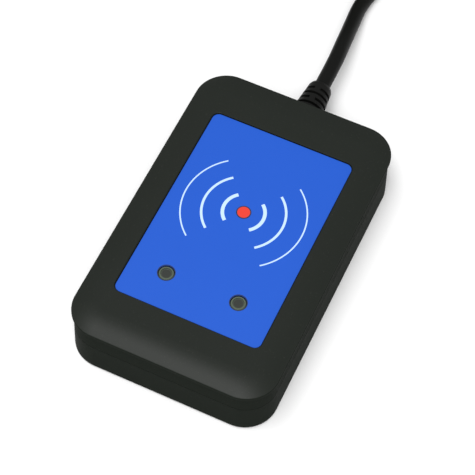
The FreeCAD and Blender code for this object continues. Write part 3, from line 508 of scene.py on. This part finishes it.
def window_finish():
    """The head of a light pipe: a grey-green rim with a painted highlight round a darker recess,
    the dark smoked lens with painted shade.
    """
    smooth = dict(grain=0.3, depth=0.002, variation=0.05, coat=0.3)
    material = finish("smoked_window", (0.08, 0.10, 0.08), 0.3, **smooth)
    tree = material.node_tree
    place = next(n for n in tree.nodes if n.type == "TEX_COORD").outputs["Object"]
    split = node(tree, "ShaderNodeSeparateXYZ")
    tree.links.new(place, split.inputs[0])
    low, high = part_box("light_pipe_right")
    centre = (low + high) / 2
    across = maths(tree, "SUBTRACT", maths(tree, "ABSOLUTE", split.outputs["X"]), centre.x)
    along = maths(tree, "SUBTRACT", split.outputs["Y"], centre.y)
    squares = [maths(tree, "MULTIPLY", side, side) for side in (across, along)]
    radius = maths(tree, "SQRT", maths(tree, "ADD", *squares))
    ramp = node(tree, "ShaderNodeValToRGB")
    # Painted shade in the window's recess and a painted highlight on its rim, by the distance from
    # its centre
    recess, rim = ramp.color_ramp.elements
    recess.position, recess.color = 0.46, (0.019, 0.023, 0.019, 1.0)
    rim.position, rim.color = 0.70, (0.080, 0.105, 0.072, 1.0)
    tree.links.new(maths(tree, "DIVIDE", radius, WINDOW_SHADING), ramp.inputs["Fac"])
    groups = [n for n in tree.nodes if n.type == "GROUP"]
    surface = next(n for n in groups if n.node_tree.name == "Handled surface")
    tree.links.new(ramp.outputs["Color"], surface.inputs["Base"])
    return material


INNER_FINISHES = {
    "solder_mask": ((0.01, 0.12, 0.04), dict(roughness=0.3, grain=0.5, depth=0.004, coat=0.3)),
    "copper_track": (
        (0.75, 0.36, 0.17),
        dict(roughness=0.35, metallic=1.0, grain=0.1, depth=0.002),
    ),
    "copper_winding": (
        (0.55, 0.22, 0.09),
        dict(roughness=0.35, metallic=0.7, grain=0.16, depth=0.04, coat=0.4),
    ),
    "foam": ((0.5, 0.5, 0.47), dict(roughness=0.95, grain=0.35, depth=0.12)),
    "chip_moulding": ((0.018, 0.018, 0.02), dict(roughness=0.6, grain=0.08, depth=0.006)),
    "can_nickel": (
        (0.62, 0.61, 0.58),
        dict(roughness=0.3, metallic=1.0, grain=0.06, depth=0.002, drawn=True),
    ),
    "led_lens": ((0.75, 0.73, 0.62), dict(roughness=0.25, grain=0.3, depth=0.002, coat=0.5)),
    "capacitor_ceramic": ((0.40, 0.29, 0.18), dict(roughness=0.55, grain=0.08, depth=0.006)),
    "resistor_glaze": ((0.02, 0.02, 0.022), dict(roughness=0.3, grain=0.08, depth=0.003)),
    "connector_nylon": ((0.74, 0.72, 0.66), dict(roughness=0.45, grain=0.2, depth=0.006)),
    "wire_insulation": ((0.42, 0.03, 0.02), dict(roughness=0.4, grain=0.15, depth=0.004)),
    "adhesive_film": ((0.72, 0.72, 0.68), dict(roughness=0.6, grain=0.2, depth=0.004)),
}
INNER_NODES = {
    "main_board": "solder_mask",
    "hf_antenna_track": "copper_track",
    "lf_antenna_coil": "copper_winding",
    "coil_spacer": "foam",
    "controller_chip": "chip_moulding",
    "rf_transceiver": "chip_moulding",
    "voltage_regulator": "chip_moulding",
    "buzzer": "chip_moulding",
    "crystal": "can_nickel",
    "led_left": "led_lens",
    "led_right": "led_lens",
    "board_capacitors": "capacitor_ceramic",
    "board_resistors": "resistor_glaze",
    "cable_header": "connector_nylon",
    "crimp_housing": "connector_nylon",
    "cable_leads": "wire_insulation",
    "label_adhesive": "adhesive_film",
}


def coat(name, material):
    """Gives a CAD node its material."""
    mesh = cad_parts[name].data
    mesh.materials.clear()
    mesh.materials.append(material)


# Pieces


def add_piece(name, bm, material):
    """Makes a bmesh an object of the scene that rides on the housing."""
    bmesh.ops.remove_doubles(bm, verts=bm.verts, dist=1e-7)
    bmesh.ops.recalc_face_normals(bm, faces=bm.faces)
    mesh = bpy.data.meshes.new(name)
    bm.to_mesh(mesh)
    bm.free()
    mesh.materials.append(material)
    piece = bpy.data.objects.new(name, mesh)
    bpy.context.scene.collection.objects.link(piece)
    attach(piece, "root")


def ring_sector(bm, centre, inner, outer, bottom, top, start, sweep, steps):
    """A flat ring or part of one, spun from its cross-section."""
    corners = [(inner, bottom), (outer, bottom), (outer, top), (inner, top)]
    turn = Matrix.Rotation(start, 4, "Z")
    places = [centre + turn @ Vector((radius, 0, height)) for radius, height in corners]
    verts = [bm.verts.new(place) for place in places]
    face = bm.faces.new(verts)
    whole = sweep > 2 * math.pi - 1e-6
    bmesh.ops.spin(
        bm,
        geom=[face, *verts, *face.edges],
        cent=centre,
        axis=(0, 0, 1),
        dvec=(0, 0, 0),
        angle=sweep,
        steps=steps,
        use_merge=whole,
    )
    if whole:
        bmesh.ops.delete(bm, geom=[face], context="FACES_ONLY")


def disc(bm, centre, radius, depth):
    """A flat disc, half its depth above and half below its centre."""
    bmesh.ops.create_cone(
        bm,
        cap_ends=True,
        segments=DOT_STEPS,
        radius1=radius,
        radius2=radius,
        depth=depth,
        matrix=Matrix.Translation(centre),
    )


class CARDREADER_OT_artwork(bpy.types.Operator):
    """Print the waves and the dot on the front label"""

    bl_idname = "card_reader.artwork"
    bl_label = "Label artwork"

    def execute(self, context):
        art, colours = context.scene.card_reader_artwork, context.scene.card_reader_colours
        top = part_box("front_label")[1].z
        centre = Vector((0, art.mark_back, 0))
        level = Vector((0, 0, top))
        below, above = top - art.ink_and_shadow_thickness, top + art.ink_and_shadow_thickness
        ink = dict(grain=0.12, depth=0.002)
        waves = finish("wave_ink", tuple(colours.waves), 0.42, variation=0.02, **ink)
        bm = bmesh.new()
        for side in (0.0, math.pi):
            for number in range(art.wave_count):
                radius = art.wave_first + number * art.wave_step
                half = (art.wave_width - number * art.wave_thinning) / 2
                start = side - art.wave_spread / 2
                ends = (radius - half, radius + half)
                ring_sector(bm, centre, *ends, below, above, start, art.wave_spread, WAVE_STEPS)
        add_piece("printed_waves", bm, waves)

        dot = finish("dot_ink", tuple(colours.dot), 0.4, variation=0.03, **ink)
        bm = bmesh.new()
        disc(bm, centre + level, art.dot_diameter / 2, 2 * art.ink_and_shadow_thickness)
        add_piece("printed_dot", bm, dot)

        # A thin dark ring round the dot, and a painted shadow ring round each window
        line = finish("dot_ring_and_shadow_rings", (0.012, 0.02, 0.06), 0.45, variation=0.03, **ink)
        bm = bmesh.new()
        disc(bm, centre + level, art.dot_diameter / 2 + art.ring_width, art.ink_and_shadow_thickness)
        for side in ("left", "right"):
            low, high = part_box(f"light_pipe_{side}")
            middle = Vector(((low.x + high.x) / 2, (low.y + high.y) / 2, 0))
            ends = (SHADOW_RING_INNER, SHADOW_RING_OUTER)
            ring_sector(bm, middle, *ends, below, above, 0.0, 2 * math.pi, SHADOW_RING_STEPS)
        add_piece("dot_ring_and_window_shadows", bm, line)
        return {"FINISHED"}


class CARDREADER_OT_housing(bpy.types.Operator):
    """Finish the housing, the label, the lights, the screws, the feet and the rating label"""

    bl_idname = "card_reader.housing"
    bl_label = "Housing finishes"

    def execute(self, context):
        colours = context.scene.card_reader_colours
        # The coat on the housing's top is a painted highlight that its sides don't get
        housing = finish(
            "moulded_black",
            tuple(colours.housing),
            0.48,
            grain=0.22,
            depth=0.010,
            variation=0.06,
            dust=0.03,
            coat=0.32,
            gloss=0.006,
            highlight_from=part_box("upper_cover")[1].z - HIGHLIGHT_DEPTH,
        )
        for name in ("upper_cover", "lower_case"):
            coat(name, housing)
        film = dict(grain=0.16, depth=0.0025, variation=0.02, gloss=0.3)
        coat("front_label", finish("label_film", tuple(colours.label), 0.42, **film))
        window = window_finish()
        for name in ("light_pipe_left", "light_pipe_right"):
            coat(name, window)
        cut_metal = dict(metallic=1.0, grain=0.05, depth=0.003, variation=0.15, drawn=True)
        steel = finish("blackened_steel", (0.30, 0.30, 0.31), 0.35, **cut_metal)
        for name in ("case_screws", "board_screws"):
            coat(name, steel)
        dull = dict(grain=0.18, depth=0.02, variation=0.15, dust=0.3)
        rubber = finish("foot_rubber", (0.012, 0.012, 0.012), 0.85, **dull)
        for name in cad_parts:
            if name.startswith("rubber_foot"):
                coat(name, rubber)
        foil = dict(metallic=0.6, grain=0.1, depth=0.002, variation=0.05)
        coat("rating_label", finish("silver_film", (0.55, 0.56, 0.57), 0.35, **foil))
        return {"FINISHED"}


class CARDREADER_OT_inside(bpy.types.Operator):
    """Finish the board, its parts and the wires"""

    bl_idname = "card_reader.inside"
    bl_label = "Board finishes"

    def execute(self, context):
        made = {}
        for name, (colour, settings) in INNER_FINISHES.items():
            made[name] = finish(name, colour, **settings)
        for name, finish_name in INNER_NODES.items():
            coat(name, made[finish_name])
        return {"FINISHED"}


def smooth_step(value):
    """From 0 to 1 with no sudden start or stop."""
    value = max(0.0, min(1.0, value))
    return value * value * (3 - 2 * value)


def around(angle, radius, height):
    """A point of the coil, in millimetres, from its angle in degrees."""
    turned = math.radians(angle)
    return HANK_CENTRE + Vector((math.cos(turned) * radius, math.sin(turned) * radius, height))


def lead_points(per_turn):
    """The cable's route with the coil's turns and the end that goes to the plug, in millimetres."""
    points = [Vector(point) for point in LEAD_ROUTE]
    step = 360.0 / per_turn
    # A spline runs a little inside its points, so the points of the turns lie that much outside.
    stand_out = 1.0 / (0.75 + 0.25 * math.cos(math.radians(step)))
    # The last point before the coil is on the tangent of its first turn.
    first_angle = HANK_START + step / 2
    for number, (radius, height) in enumerate(HANK_TURNS):
        last = number == len(HANK_TURNS) - 1
        next_radius, next_height = (radius, height) if last else HANK_TURNS[number + 1]
        for count in range(per_turn):
            angle = first_angle + count * step
            if last and angle > HANK_END[0][0] - step / 2:
                break
            moved = smooth_step((count - (1 - CROSSING) * per_turn) / (CROSSING * per_turn))
            at_radius = radius + (next_radius - radius) * moved
            at_height = height + (next_height - height) * moved
            points.append(around(angle, at_radius * stand_out, at_height))
    points += [around(*place) for place in HANK_END]
    heading = math.radians(PLUG_HEADING)
    points.append(points[-1] + Vector((math.cos(heading), math.sin(heading), 0)) * PLUG_RUN)
    return points


class CARDREADER_OT_lead(bpy.types.Operator):
    """Lay the USB lead, wind its spare length and finish its relief, tie and plug"""

    bl_idname = "card_reader.lead"
    bl_label = "USB lead"

    def execute(self, context):
        settings, colours = context.scene.card_reader_cable, context.scene.card_reader_colours
        points = lead_points(settings.points_per_turn)
        curve = bpy.data.curves.new("usb_lead", "CURVE")
        curve.dimensions = "3D"
        spline = curve.splines.new("NURBS")
        spline.points.add(len(points) - 1)
        for control, point in zip(spline.points, points):
            control.co = (*(point * MM), 1.0)
        spline.order_u = 3
        spline.use_endpoint_u = True
        spline.resolution_u = 6
        curve.resolution_u = 6
        curve.bevel_depth = settings.diameter / 2
        curve.bevel_resolution = 5
        curve.use_fill_caps = True
        sleek = dict(grain=0.35, depth=0.006, variation=0.08, gloss=0.08)
        jacket = finish("cable_jacket", tuple(colours.cable), 0.42, **sleek)
        curve.materials.append(jacket)
        lead = bpy.data.objects.new("usb_lead", curve)
        bpy.context.scene.collection.objects.link(lead)
        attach(lead, "root")
        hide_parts("usb_cable", "usb_cable_coil")

        moulded = dict(grain=0.2, depth=0.01, variation=0.08, gloss=0.12)
        moulding = finish("relief_moulding", tuple(colours.cable), 0.5, **moulded)
        for name in ("strain_relief", "plug_grip"):
            coat(name, moulding)
        coat("cable_jacket_end", jacket)
        tie = finish("tie_strip", (0.012, 0.012, 0.012), 0.55, grain=0.4, depth=0.03, variation=0.1)
        coat("cable_tie", tie)
        plated = dict(metallic=1.0, drawn=True)
        nickel = finish("plug_nickel", (0.66, 0.64, 0.60), 0.28, grain=0.08, depth=0.002, **plated)
        coat("plug_shell", nickel)
        insulator = finish("plug_insulator", (0.70, 0.70, 0.68), 0.45, grain=0.2, depth=0.004)
        coat("plug_insert", insulator)
        gold = finish("gold_contact", (0.83, 0.58, 0.22), 0.25, grain=0.06, depth=0.001, **plated)
        coat("plug_contacts", gold)
        return {"FINISHED"}


# Stage

TABLE_HALF = 3.0
CAMERA_PLACE = (0.09064, -0.21352, 0.39098)
CAMERA_AXES = (
    (0.90656, 0.4215, 0.02195),
    (-0.37006, 0.76877, 0.52157),
    (0.20297, -0.48096, 0.85292),
)
LIGHT_TARGET = (0, 0.02, 0)
# Place and size of each light
LIGHTS = {
    "key_light": ((-0.16, -0.24, 1.24), (0.85, 0.55)),
    "fill_light": ((0.28, -0.74, 1.15), (0.9, 0.7)),
}


def add_light(name, place, target, size, power):
    """A rectangular lamp that faces its target."""
    light = bpy.data.lights.new(name, "AREA")
    light.shape = "RECTANGLE"
    light.size, light.size_y = size
    light.energy = power
    lamp = bpy.data.objects.new(name, light)
    lamp.location = place
    aim = Vector(target) - Vector(place)
    lamp.rotation_euler = aim.to_track_quat("-Z", "Y").to_euler()
    bpy.context.scene.collection.objects.link(lamp)


class CARDREADER_OT_stage(bpy.types.Operator):
    """Set the floor, the lights and the camera"""

    bl_idname = "card_reader.stage"
    bl_label = "Stage"

    def execute(self, context):
        scene, settings = context.scene, context.scene.card_reader_stage
        bm = bmesh.new()
        bmesh.ops.create_grid(bm, x_segments=1, y_segments=1, size=TABLE_HALF)
        mesh = bpy.data.meshes.new("table_top")
        bm.to_mesh(mesh)
        bm.free()
        plain = dict(grain=1.0, depth=0.002, variation=0.0)
        mesh.materials.append(finish("table_white", (0.96, 0.96, 0.96), 0.8, **plain))
        table = bpy.data.objects.new("table_top", mesh)
        scene.collection.objects.link(table)

        world = bpy.data.worlds.new("surround")
        world.use_nodes = True
        set_inputs(
            world.node_tree.nodes["Background"],
            Color=(1.0, 1.0, 1.0, 1.0),
            Strength=settings.surround,
        )
        scene.world = world
        for name, (place, size) in LIGHTS.items():
            add_light(name, place, LIGHT_TARGET, size, settings.key_power)

        camera_data = bpy.data.cameras.new("camera")
        camera_data.lens = settings.focal_length
        camera_data.sensor_width = 36.0
        camera_data.clip_start = 0.01
        camera = bpy.data.objects.new("camera", camera_data)
        turn = Matrix(CAMERA_AXES).transposed().to_4x4()
        camera.matrix_world = Matrix.Translation(CAMERA_PLACE) @ turn
        scene.collection.objects.link(camera)
        scene.camera = camera
        scene.view_settings.view_transform = "Standard"
        return {"FINISHED"}


class CARDREADER_PT_panel(bpy.types.Panel):
    """Card reader settings and operators"""

    bl_idname = "CARDREADER_PT_panel"
    bl_label = "Card reader"
    bl_space_type = "VIEW_3D"
    bl_region_type = "UI"
    bl_category = "Card reader"

    def draw(self, context):
        for operator in OPERATORS:
            self.layout.operator(operator.bl_idname)
        for name, group in SETTINGS.items():
            box = self.layout.box()
            box.label(text=group.__doc__)
            for field in group.__annotations__:
                box.prop(getattr(context.scene, name), field)


OPERATORS = (
    CARDREADER_OT_housing,
    CARDREADER_OT_inside,
    CARDREADER_OT_artwork,
    CARDREADER_OT_lead,
    CARDREADER_OT_stage,
)
SETTINGS = {
    "card_reader_artwork": CardReaderArtwork,
    "card_reader_colours": CardReaderColours,
    "card_reader_cable": CardReaderCable,
    "card_reader_stage": CardReaderStage,
}
CLASSES = (*SETTINGS.values(), *OPERATORS, CARDREADER_PT_panel)


def register():
    for each in CLASSES:
        bpy.utils.register_class(each)
    for name, group in SETTINGS.items():
        setattr(bpy.types.Scene, name, PointerProperty(type=group))


def unregister():
    for name in SETTINGS:
        delattr(bpy.types.Scene, name)
    for each in reversed(CLASSES):
        bpy.utils.unregister_class(each)


def main():
    register()
    for operator in OPERATORS:
        group, name = operator.bl_idname.split(".")
        if getattr(getattr(bpy.ops, group), name)() != {"FINISHED"}:
            raise RuntimeError(f"{operator.bl_label} did not finish")


if __name__ == "__main__":
    main()
